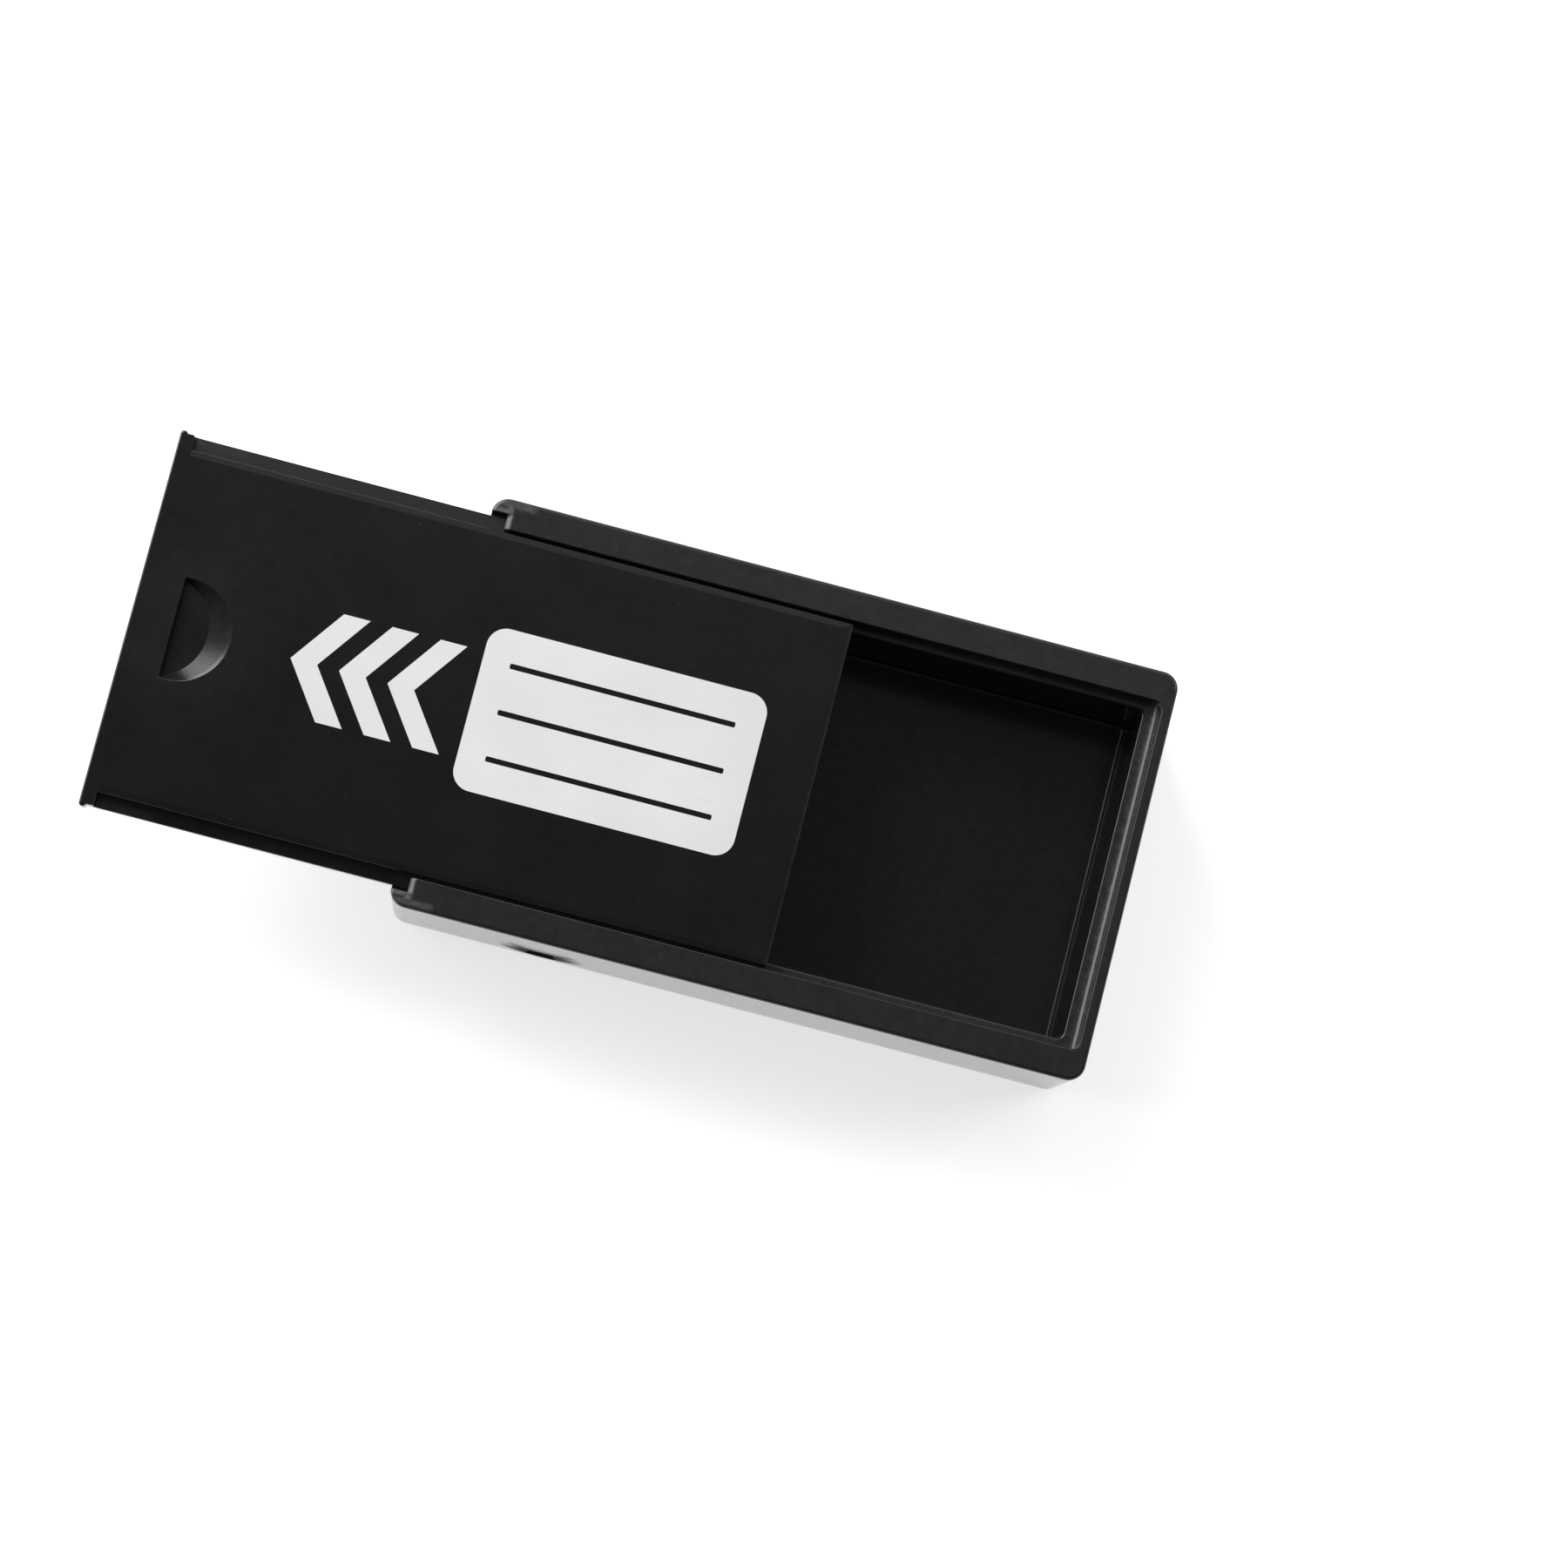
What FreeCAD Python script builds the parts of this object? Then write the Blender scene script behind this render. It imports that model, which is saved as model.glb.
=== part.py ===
"""Magnetic key holder box: a moulded box with grooved side rails, a lid that slides in them
and a flat magnet bonded into its underside.

The part stands on the magnet's lower face. X runs along the box from the mouth to the closed end,
Y runs across it and Z points up through the lid. The origin is the middle of the magnet's lower
face. The lid is drawn partly open, out over the mouth end.
"""
import FreeCAD, Part
import Sketcher
import math
import os

# Driving sizes, in millimetres. A height is measured up from the underside of its own piece.
SIZES = {
    # box, outside
    "box_length": 89.0,
    "box_width": 53.0,
    "box_height": 22.2,
    "box_corner": 2.2,
    "outer_draft": 0.5,          # degrees that the outer walls lean
    "cavity_draft": 1.0,
    "rim_round": 0.5,
    "edge_round": 0.3,
    "overrun": 3.0,              # how far the slots are cut past the mouth end
    # rails that hold the lid
    "side_wall": 2.15,           # wall outside the groove
    "mouth_side_wall": 1.95,     # the same wall at the mouth, beside the lid's ears
    "lip_width": 3.9,            # top face of a rail
    "lip_thickness": 1.1,
    "lip_round": 0.15,
    "lip_end_round": 1.0,
    "groove_height": 1.5,
    "lip_setback": 2.1,          # the lips start this far in from the mouth end
    # cavity for the keys
    "ledge_width": 5.0,          # outer face to cavity, along the sides
    "mouth_wall": 2.2,
    "closed_rim": 1.4,
    "closed_ledge": 3.35,        # outer face to cavity, at the closed end
    "stop_cove": 1.3,            # hollow round where that ledge meets the rim
    "floor_height": 4.8,
    "cavity_corner": 1.0,
    "floor_round": 0.45,
    # thumb hollows in the long outer walls
    "grip_radius": 6.35,
    "grip_floor_radius": 3.9,
    "grip_straight": 4.4,
    "grip_slope": 0.25,          # lean of the hollow's steep foot
    "grip_depth": 0.5,
    "grip_from_mouth": 20.0,
    "grip_middle_height": 7.9,
    # underside
    "magnet_length": 47.6,
    "magnet_width": 22.2,
    "magnet_thickness": 4.0,
    "magnet_proud": 0.4,
    "magnet_gap": 0.15,
    "magnet_pocket_corner": 0.6,
    "adhesive_thickness": 0.2,
    "adhesive_margin": 1.0,
    "core_depth": 3.0,
    "core_corner": 1.2,
    "rib": 1.4,
    # lid
    "lid_length": 87.2,
    "lid_width": 48.0,
    "tongue_thickness": 1.3,     # at the foot of the panel
    "tongue_edge": 1.12,         # at the lid's outer edge
    "tongue_corner": 0.6,
    "panel_width": 44.3,
    "panel_height": 2.4,
    "panel_round": 0.15,
    "side_border": 0.8,          # shallow bevel along the panel's long sides
    "inner_border": 1.3,         # the same bevel at the lid's inner end
    "border_drop": 0.05,
    "inner_round": 0.35,
    "lead_in_length": 1.0,       # slope under the lid's inner end
    "lead_in_height": 0.5,
    "slot_corner": 1.2,
    "end_bar": 1.9,
    "bar_cove": 0.6,
    "ear_length": 0.95,
    "ear_reach": 0.35,
    "ear_round": 0.45,
    "lid_clearance": 0.1,
    "lid_out": 39.8,             # how far the lid stands out of the mouth
    "scoop_radius": 6.5,
    "scoop_centre": 1.0,         # flat wall to the middle of the round mouth
    "scoop_shift": 3.0,          # how far the floor's circle lies nearer the free end
    "scoop_wall_lean": 0.35,
    "scoop_depth": 1.0,
    "scoop_round": 0.15,
    "scoop_from_end": 5.35,
    "relief_depth": 0.7,
    "relief_from_end": 16.0,
    "relief_margin": 3.5,
    # printed design on the lid
    "ink_thickness": 0.05,
    "label_length": 36.0,
    "label_width": 21.0,
    "label_corner": 2.5,
    "label_from_end": 61.5,
    "line_length": 29.0,
    "line_width": 0.7,
    "line_corner": 0.2,
    "line_pitch": 6.0,
    "arrow_from_end": 20.5,
    "arrow_pitch": 6.2,
    "arrow_reach": 5.0,
    "arrow_half_width": 7.0,
    "arrow_band": 3.4,
}

LINES_ON_LABEL = 3
ARROWS = 3
CORES_ACROSS_END = 3
CORES_ALONG_SIDE = 3
REACH = 0.02                     # edges are picked by place, to within this
PICK = 0.1                       # and by side, with this to spare
LEAST_VOLUME = 1e-4

doc = FreeCAD.newDocument("magnetic_key_box")


def make_sheet():
    """Spreadsheet with one named cell for each driving size."""
    sheet = doc.addObject("Spreadsheet::Sheet", "Sizes")
    for row, (name, value) in enumerate(SIZES.items(), 1):
        sheet.set(f"A{row}", name)
        sheet.set(f"B{row}", str(value))
        sheet.setAlias(f"B{row}", name)
    doc.recompute()
    return sheet


def number(owner, formula):
    """Present value of a formula of sheet cells."""
    return float(owner.evalExpression(formula))


def new_body(name, x="0", z="0"):
    """Empty body whose own frame stands at the given place."""
    body = doc.addObject("PartDesign::Body", name)
    body.Label = name
    body.setExpression("Placement.Base.x", x)
    body.setExpression("Placement.Base.z", z)
    return body


def new_sketch(body, name, plane="XY_Plane", shift=("0", "0", "0"), turn=0.0):
    """Sketch on one of the body's own planes, moved and turned within that plane."""
    sketch = body.newObject("Sketcher::SketchObject", name)
    support = [item for item in body.Origin.OriginFeatures if item.Role == plane][0]
    sketch.AttachmentSupport = [(support, "")]
    sketch.MapMode = "FlatFace"
    rotation = FreeCAD.Rotation(FreeCAD.Vector(0, 0, 1), turn)
    sketch.AttachmentOffset = FreeCAD.Placement(FreeCAD.Vector(0, 0, 0), rotation)
    for axis, formula in zip("xyz", shift):
        sketch.setExpression(f"AttachmentOffset.Base.{axis}", formula)
    return sketch


def bind(sketch, name, kind, *where, formula):
    """Adds a size to the sketch and ties it to a formula of sheet cells."""
    index = sketch.addConstraint(Sketcher.Constraint(kind, *where, number(sketch, formula)))
    sketch.renameConstraint(index, name)
    sketch.setExpression(f"Constraints.{name}", formula)


def line(x1, y1, x2, y2):
    return Part.LineSegment(FreeCAD.Vector(x1, y1, 0), FreeCAD.Vector(x2, y2, 0))


def arc(x, y, radius, start, end):
    circle = Part.Circle(FreeCAD.Vector(x, y, 0), FreeCAD.Vector(0, 0, 1), radius)
    return Part.ArcOfCircle(circle, math.radians(start), math.radians(end))


def rounded_rectangle(sketch, length, width, radius):
    """Rectangle with round corners, centred on the sketch's own origin."""
    half_x = number(sketch, length) / 2
    half_y = number(sketch, width) / 2
    r = number(sketch, radius)
    sketch.addGeometry([
        line(r - half_x, -half_y, half_x - r, -half_y),
        line(half_x, r - half_y, half_x, half_y - r),
        line(half_x - r, half_y, r - half_x, half_y),
        line(-half_x, half_y - r, -half_x, r - half_y),
        arc(half_x - r, r - half_y, r, -90, 0),
        arc(half_x - r, half_y - r, r, 0, 90),
        arc(r - half_x, half_y - r, r, 90, 180),
        arc(r - half_x, r - half_y, r, 180, 270),
    ], False)
    for side in range(4):
        corner = 4 + side
        sketch.addConstraint(Sketcher.Constraint("Tangent", side, 2, corner, 1))
        sketch.addConstraint(Sketcher.Constraint("Tangent", corner, 2, (side + 1) % 4, 1))
    for corner in (4, 5, 6):
        sketch.addConstraint(Sketcher.Constraint("Equal", corner, corner + 1))
    sketch.addConstraint(Sketcher.Constraint("Horizontal", 2))
    sketch.addConstraint(Sketcher.Constraint("Vertical", 3))
    sketch.addConstraint(Sketcher.Constraint("Symmetric", 0, 1, 0, 2, -2))
    sketch.addConstraint(Sketcher.Constraint("Symmetric", 1, 1, 1, 2, -1))
    bind(sketch, "length", "DistanceX", 3, 1, 1, 1, formula=length)
    bind(sketch, "width", "DistanceY", 0, 1, 2, 1, formula=width)
    bind(sketch, "radius", "Radius", 4, formula=radius)


def corner_fill(sketch, x, y, radius, way_x, way_y):
    """Corner between a level and an upright line, bounded by a quarter circle that touches both.

    The corner stands at x, y. way_x and way_y are 1 or -1 and say which way its lines run.
    """
    corner_x = number(sketch, x)
    corner_y = number(sketch, y)
    r = number(sketch, radius)
    centre_x = corner_x + way_x * r
    centre_y = corner_y + way_y * r
    to_level = -90 * way_y
    to_upright = 90 + 90 * way_x
    turn = (to_upright - to_level) % 360
    level_first = turn < 180
    start = to_level if level_first else to_upright
    sketch.addGeometry([
        line(corner_x, corner_y, centre_x, corner_y),
        line(corner_x, corner_y, corner_x, centre_y),
        arc(centre_x, centre_y, r, start, start + 90),
    ], False)
    level_end, upright_end = (1, 2) if level_first else (2, 1)
    sketch.addConstraint(Sketcher.Constraint("Coincident", 0, 1, 1, 1))
    sketch.addConstraint(Sketcher.Constraint("Tangent", 0, 2, 2, level_end))
    sketch.addConstraint(Sketcher.Constraint("Tangent", 1, 2, 2, upright_end))
    sketch.addConstraint(Sketcher.Constraint("Horizontal", 0))
    sketch.addConstraint(Sketcher.Constraint("Vertical", 1))
    bind(sketch, "x", "DistanceX", -1, 1, 0, 1, formula=x)
    bind(sketch, "y", "DistanceY", -1, 1, 0, 1, formula=y)
    bind(sketch, "radius", "Radius", 2, formula=radius)


def segment_outline(sketch, radius, centre):
    """Circle about a point on the x axis, cut off by the y axis."""
    r = number(sketch, radius)
    middle = number(sketch, centre)
    half = math.sqrt(r * r - middle * middle)
    reach = math.degrees(math.atan2(half, -middle))
    sketch.addGeometry([
        line(0, half, 0, -half),
        arc(middle, 0, r, -reach, reach),
    ], False)
    sketch.addConstraint(Sketcher.Constraint("Coincident", 0, 2, 1, 1))
    sketch.addConstraint(Sketcher.Constraint("Coincident", 1, 2, 0, 1))
    sketch.addConstraint(Sketcher.Constraint("Vertical", 0))
    sketch.addConstraint(Sketcher.Constraint("PointOnObject", 0, 1, -2))
    sketch.addConstraint(Sketcher.Constraint("PointOnObject", 1, 3, -1))
    bind(sketch, "radius", "Radius", 1, formula=radius)
    bind(sketch, "centre", "DistanceX", -1, 1, 1, 3, formula=centre)


def thumb_outline(sketch, radius, straight):
    """Half circle about the sketch's origin, closed by two straight sides and a flat."""
    r = number(sketch, radius)
    back = -number(sketch, straight)
    sketch.addGeometry([
        line(back, r, back, -r),
        line(back, -r, 0, -r),
        arc(0, 0, r, -90, 90),
        line(0, r, back, r),
    ], False)
    sketch.addConstraint(Sketcher.Constraint("Coincident", 0, 2, 1, 1))
    sketch.addConstraint(Sketcher.Constraint("Tangent", 1, 2, 2, 1))
    sketch.addConstraint(Sketcher.Constraint("Tangent", 2, 2, 3, 1))
    sketch.addConstraint(Sketcher.Constraint("Coincident", 3, 2, 0, 1))
    sketch.addConstraint(Sketcher.Constraint("Coincident", 2, 3, -1, 1))
    sketch.addConstraint(Sketcher.Constraint("Horizontal", 1))
    sketch.addConstraint(Sketcher.Constraint("Horizontal", 3))
    sketch.addConstraint(Sketcher.Constraint("Vertical", 0))
    bind(sketch, "radius", "Radius", 2, formula=radius)
    bind(sketch, "straight", "DistanceX", 1, 1, 1, 2, formula=straight)


def polygon(sketch, points):
    """Closed outline through the given places, each held by a formula for x and one for y."""
    first = sketch.GeometryCount
    places = [(number(sketch, x), number(sketch, y)) for x, y in points]
    count = len(places)
    for index, (x, y) in enumerate(places):
        next_x, next_y = places[(index + 1) % count]
        sketch.addGeometry(line(x, y, next_x, next_y), False)
    for index, (x, y) in enumerate(points):
        edge = first + index
        following = first + (index + 1) % count
        sketch.addConstraint(Sketcher.Constraint("Coincident", edge, 2, following, 1))
        bind(sketch, f"x{edge}", "DistanceX", -1, 1, edge, 1, formula=x)
        bind(sketch, f"y{edge}", "DistanceY", -1, 1, edge, 1, formula=y)


def pad(body, name, sketch, length, downward=False, draft="0"):
    """Block from the sketch's plane upwards, or downwards where that is asked for."""
    feature = body.newObject("PartDesign::Pad", name)
    feature.Profile = sketch
    feature.Reversed = downward
    feature.setExpression("Length", length)
    feature.setExpression("TaperAngle", f"({draft}) * 1 deg")
    return feature


def pocket(body, name, sketch, depth, upward=False, draft="0"):
    """Cut from the sketch's plane downwards, or upwards where that is asked for."""
    feature = body.newObject("PartDesign::Pocket", name)
    feature.Profile = sketch
    feature.Reversed = upward
    feature.setExpression("Length", depth)
    feature.setExpression("TaperAngle", f"({draft}) * 1 deg")
    return feature


def loft(body, name, kind, first, second):
    feature = body.newObject(f"PartDesign::{kind}Loft", name)
    feature.Profile = first
    feature.Sections = [second]
    feature.Ruled = True
    return feature


def fillet(body, name, base, wanted, radius):
    """Rounds the edges of the last feature for which wanted(middle, edge) is true."""
    doc.recompute()
    names = []
    for index, edge in enumerate(base.Shape.Edges, 1):
        middle = edge.valueAt((edge.FirstParameter + edge.LastParameter) / 2)
        if wanted(middle, edge):
            names.append(f"Edge{index}")
    feature = body.newObject("PartDesign::Fillet", name)
    feature.Base = (base, names)
    feature.setExpression("Radius", radius)
    doc.recompute()
    return feature


def across(feature):
    """Runs a pad or pocket both ways from its sketch."""
    feature.SideType = "Symmetric"
    return feature


def near(value, target):
    return abs(value - target) < REACH


def is_level(edge, height):
    """True for an edge that lies flat at the given height."""
    box = edge.BoundBox
    return near(box.ZMin, height) and near(box.ZMax, height)


def rounded_rectangle_on(body, name, shift, length, width, radius):
    sketch = new_sketch(body, name, shift=shift)
    rounded_rectangle(sketch, length, width, radius)
    return sketch


def box_outside(body):
    """Block with round corners, rim and foot, whose walls lean in a little towards the base."""
    outline = rounded_rectangle_on(
        body, "rim_outline", ("0", "0", "Sizes.box_height"),
        "Sizes.box_length", "Sizes.box_width", "Sizes.box_corner")
    block = pad(body, "outside", outline, "Sizes.box_height", downward=True,
                draft="-Sizes.outer_draft")
    rim = fillet(
        body, "rim_edge", block,
        lambda middle, edge: is_level(edge, SIZES["box_height"]), "Sizes.rim_round")
    return fillet(
        body, "foot_edge", rim, lambda middle, edge: is_level(edge, 0), "Sizes.edge_round")


def box_cavity(body):
    """Space for the keys, open at the level of the ledges and with a rounded foot."""
    middle = "(Sizes.mouth_wall - Sizes.closed_ledge) / 2"
    length = "Sizes.box_length - Sizes.mouth_wall - Sizes.closed_ledge"
    width = "Sizes.box_width - 2 * Sizes.ledge_width"
    outline = rounded_rectangle_on(
        body, "cavity_outline", (middle, "0", "Sizes.box_height"),
        length, width, "Sizes.cavity_corner")
    hollow = pocket(body, "cavity", outline, "Sizes.box_height - Sizes.floor_height",
                    draft="-Sizes.cavity_draft")
    return fillet(
        body, "cavity_foot", hollow,
        lambda middle, edge: is_level(edge, SIZES["floor_height"]),
        "Sizes.floor_round")


def slot_sketch(body, name, height, inner_end, half_width, radius):
    """Outline that runs out past the mouth and ends inner_end short of the closed end."""
    length = f"Sizes.box_length + Sizes.overrun - ({inner_end})"
    middle = f"-(Sizes.overrun + {inner_end}) / 2"
    return rounded_rectangle_on(
        body, name, (middle, "0", height), length, f"2 * ({half_width})", radius)


def box_rails(body):
    """Opening between the lips, the grooves under them and the cut-back lip ends at the mouth."""
    opening = slot_sketch(
        body, "opening_outline", "Sizes.box_height", "Sizes.closed_rim",
        "Sizes.box_width / 2 - Sizes.lip_width", "Sizes.slot_corner")
    pocket(body, "opening", opening, "Sizes.lip_thickness + Sizes.groove_height")
    groove = slot_sketch(
        body, "groove_outline", "Sizes.box_height - Sizes.lip_thickness", "Sizes.closed_rim",
        "Sizes.box_width / 2 - Sizes.side_wall", "Sizes.slot_corner")
    pocket(body, "groove", groove, "Sizes.groove_height")
    setback = new_sketch(body, "setback_outline", shift=("0", "0", "Sizes.box_height"))
    beyond = "-(Sizes.box_length / 2 + Sizes.overrun)"
    lip_end = "-(Sizes.box_length / 2 - Sizes.lip_setback)"
    wall = "(Sizes.box_width / 2 - Sizes.mouth_side_wall)"
    polygon(setback, [
        (beyond, f"-{wall}"), (lip_end, f"-{wall}"), (lip_end, wall), (beyond, wall)])
    return pocket(body, "setback", setback, "Sizes.lip_thickness + Sizes.groove_height")


def magnet_pocket(body):
    outline = rounded_rectangle_on(
        body, "magnet_outline", ("0", "0", "0"),
        "Sizes.magnet_length + 2 * Sizes.magnet_gap",
        "Sizes.magnet_width + 2 * Sizes.magnet_gap", "Sizes.magnet_pocket_corner")
    depth = "Sizes.magnet_thickness + Sizes.adhesive_thickness - Sizes.magnet_proud"
    return pocket(body, "magnet_pocket", outline, depth, upward=True)


def repeat(body, name, original, axis, count, reach):
    """Copies of a cut in a row along one of the body's axes."""
    feature = body.newObject("PartDesign::LinearPattern", name)
    feature.Originals = [original]
    direction = [item for item in body.Origin.OriginFeatures if item.Role == axis][0]
    feature.Direction = (direction, [""])
    feature.Occurrences = count
    feature.setExpression("Length", reach)
    body.Tip = feature
    return feature


def mirror(body, name, originals, plane):
    feature = body.newObject("PartDesign::Mirrored", name)
    feature.Originals = originals
    support = [item for item in body.Origin.OriginFeatures if item.Role == plane][0]
    feature.MirrorPlane = (support, [""])
    body.Tip = feature
    return feature


def end_cores(body):
    """Rows of hollows under the two ends of the floor, with ribs between them."""
    frame = "(Sizes.magnet_length / 2 + Sizes.magnet_gap + Sizes.rib)"
    outer = "(Sizes.box_length / 2 - Sizes.closed_ledge)"
    span = "(Sizes.box_width - 2 * Sizes.ledge_width)"
    step = f"({span} + Sizes.rib) / {CORES_ACROSS_END}"
    for end, side in (("closed", 1), ("mouth", -1)):
        outline = rounded_rectangle_on(
            body, f"{end}_core_outline",
            (f"{side} * ({outer} + {frame}) / 2", f"-({span} + Sizes.rib - {step}) / 2", "0"),
            f"{outer} - {frame}", f"{step} - Sizes.rib", "Sizes.core_corner")
        hollow = pocket(body, f"{end}_core", outline, "Sizes.core_depth", upward=True)
        repeat(body, f"{end}_cores", hollow, "Y_Axis", CORES_ACROSS_END,
               f"{span} + Sizes.rib - {step}")


def side_cores(body):
    """Rows of hollows between the magnet and the long walls, with ribs between them."""
    frame = "(Sizes.magnet_width / 2 + Sizes.magnet_gap + Sizes.rib)"
    outer = "(Sizes.box_width / 2 - Sizes.ledge_width)"
    span = "(Sizes.magnet_length + 2 * Sizes.magnet_gap)"
    step = f"({span} + Sizes.rib) / {CORES_ALONG_SIDE}"
    for name, side in (("left", 1), ("right", -1)):
        outline = rounded_rectangle_on(
            body, f"{name}_core_outline",
            (f"-({span} + Sizes.rib - {step}) / 2", f"{side} * ({outer} + {frame}) / 2", "0"),
            f"{step} - Sizes.rib", f"{outer} - {frame}", "Sizes.core_corner")
        hollow = pocket(body, f"{name}_core", outline, "Sizes.core_depth", upward=True)
        repeat(body, f"{name}_cores", hollow, "X_Axis", CORES_ALONG_SIDE,
               f"{span} + Sizes.rib - {step}")


def grip_hollows(body):
    """Shallow thumb hollow in each long wall: flat above, round and steep at its foot.

    The floor's own half circle is smaller and stands lower, so the sides slope in gently.
    """
    x = "Sizes.grip_from_mouth - Sizes.box_length / 2"
    lower = "(Sizes.grip_radius - Sizes.grip_floor_radius - Sizes.grip_slope)"
    sketches = []
    for name, radius, drop, depth in (
            ("grip_mouth", "Sizes.grip_radius", "0", "0"),
            ("grip_floor", "Sizes.grip_floor_radius", lower, "Sizes.grip_depth")):
        middle = f"Sizes.grip_middle_height - {drop}"
        level = f"Sizes.box_width / 2 - {depth}"
        sketch = new_sketch(body, name, "XZ_Plane", (x, middle, level), turn=-90.0)
        thumb_outline(sketch, radius, f"Sizes.grip_straight + {drop}")
        sketches.append(sketch)
    hollow = loft(body, "grip", "Subtractive", sketches[0], sketches[1])
    return mirror(body, "grips", [hollow], "XZ_Plane")


def box_edges(body, base):
    """Rounded lip ends, softened lips and a softened edge round the cavity."""
    half_x = SIZES["box_length"] / 2
    half_y = SIZES["box_width"] / 2
    top = SIZES["box_height"]
    ledge = top - SIZES["lip_thickness"] - SIZES["groove_height"]
    lip_end = SIZES["lip_setback"] - half_x

    def inside(middle, end_wall, side_wall):
        return abs(middle.x) < half_x - end_wall + PICK and abs(middle.y) < half_y - side_wall + PICK

    def on_lip_ends(middle, edge):
        return is_level(edge, top) and near(middle.x, lip_end)

    def on_inner_edges(middle, edge):
        return is_level(edge, top) and inside(middle, SIZES["closed_rim"], SIZES["lip_width"])

    def on_ledge(middle, edge):
        beyond_mouth = middle.x > PICK - half_x
        around = abs(middle.y) < half_y - SIZES["ledge_width"] + PICK
        return is_level(edge, ledge) and around and beyond_mouth

    ends = fillet(body, "lip_ends", base, on_lip_ends, "Sizes.lip_end_round")
    lips = fillet(body, "lip_edges", ends, on_inner_edges, "Sizes.lip_round")
    return fillet(body, "ledge_edge", lips, on_ledge, "Sizes.edge_round")


def stop_cove(body):
    """Hollow round along the closed end, where the ledge meets the rim that stops the lid."""
    sketch = new_sketch(body, "cove_outline", "XZ_Plane")
    corner_fill(
        sketch, "Sizes.box_length / 2 - Sizes.closed_rim",
        "Sizes.box_height - Sizes.lip_thickness - Sizes.groove_height", "Sizes.stop_cove", -1, 1)
    return across(pad(body, "cove", sketch, "Sizes.box_width - 2 * Sizes.side_wall"))


def make_box_shell():
    body = new_body("box_shell", z="Sizes.magnet_proud")
    box_outside(body)
    box_cavity(body)
    box_rails(body)
    magnet_pocket(body)
    end_cores(body)
    side_cores(body)
    base = grip_hollows(body)
    box_edges(body, base)
    stop_cove(body)
    return body


def lid_outline(body, name, height, start, end, width, radius):
    """Round-cornered outline between two distances from the lid's free end."""
    return rounded_rectangle_on(
        body, name, (f"({start} + {end}) / 2", "0", height), f"{end} - {start}", width, radius)


def lid_section(body):
    """Cross-section of the lid: tongues that thin outwards and a panel with bevelled sides."""
    sketch = new_sketch(body, "section", "YZ_Plane", ("0", "0", "Sizes.end_bar / 2"))
    half = "Sizes.lid_width / 2"
    foot = "Sizes.panel_width / 2"
    right = [
        (half, "0"),
        (half, "Sizes.tongue_edge"),
        (foot, "Sizes.tongue_thickness"),
        (foot, "Sizes.panel_height - Sizes.border_drop"),
        (f"{foot} - Sizes.side_border", "Sizes.panel_height"),
    ]
    left = [(f"-({y})", z) for y, z in reversed(right)]
    polygon(sketch, right + left)
    return pad(body, "plate", sketch, "Sizes.lid_length - Sizes.end_bar / 2")


def inner_end(body):
    """Lid's inner end: a shallow bevel and a rounded edge on top, a slope underneath."""
    tip = "Sizes.lid_length"
    top = "Sizes.panel_height"
    low = "Sizes.panel_height - Sizes.border_drop"
    bevel = new_sketch(body, "bevel_outline", "XZ_Plane")
    polygon(bevel, [(f"{tip} - Sizes.inner_border", top), (tip, top), (tip, low)])
    across(pocket(body, "bevel", bevel, "Sizes.lid_width"))
    lead_in = new_sketch(body, "lead_in_outline", "XZ_Plane")
    polygon(lead_in, [
        (f"{tip} - Sizes.lead_in_length", "0"), (tip, "0"), (tip, "Sizes.lead_in_height")])
    across(pocket(body, "lead_in", lead_in, "Sizes.lid_width"))
    edge = new_sketch(body, "inner_edge_outline", "XZ_Plane")
    corner_fill(edge, tip, low, "Sizes.inner_round", -1, -1)
    return across(pocket(body, "inner_edge", edge, "Sizes.panel_width"))


def end_bar(body):
    """Bar across the free end with an ear at each side, and a hollow round behind it."""
    bar = lid_outline(
        body, "bar_outline", "0", "0", "Sizes.end_bar", "Sizes.lid_width", "Sizes.edge_round")
    pad(body, "bar", bar, "Sizes.panel_height")
    ears = lid_outline(
        body, "ear_outline", "0", "0", "Sizes.ear_length",
        "Sizes.lid_width + 2 * Sizes.ear_reach", "Sizes.ear_round")
    pad(body, "ears", ears, "Sizes.panel_height")
    cove = new_sketch(body, "bar_cove_outline", "XZ_Plane")
    corner_fill(cove, "Sizes.end_bar", "Sizes.tongue_edge", "Sizes.bar_cove", 1, 1)
    return across(pad(body, "bar_hollow", cove, "Sizes.lid_width"))


def lid_scoop(body):
    """Thumb scoop: a flat wall towards the free end, and a crescent slope that is deepest behind."""
    top = new_sketch(body, "scoop_mouth", shift=("Sizes.scoop_from_end", "0", "Sizes.panel_height"))
    segment_outline(top, "Sizes.scoop_radius", "Sizes.scoop_centre")
    floor = new_sketch(
        body, "scoop_floor",
        shift=("Sizes.scoop_from_end + Sizes.scoop_wall_lean", "0",
               "Sizes.panel_height - Sizes.scoop_depth"))
    segment_outline(floor, "Sizes.scoop_radius",
                    "Sizes.scoop_centre - Sizes.scoop_shift - Sizes.scoop_wall_lean")
    return loft(body, "scoop", "Subtractive", top, floor)


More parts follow.
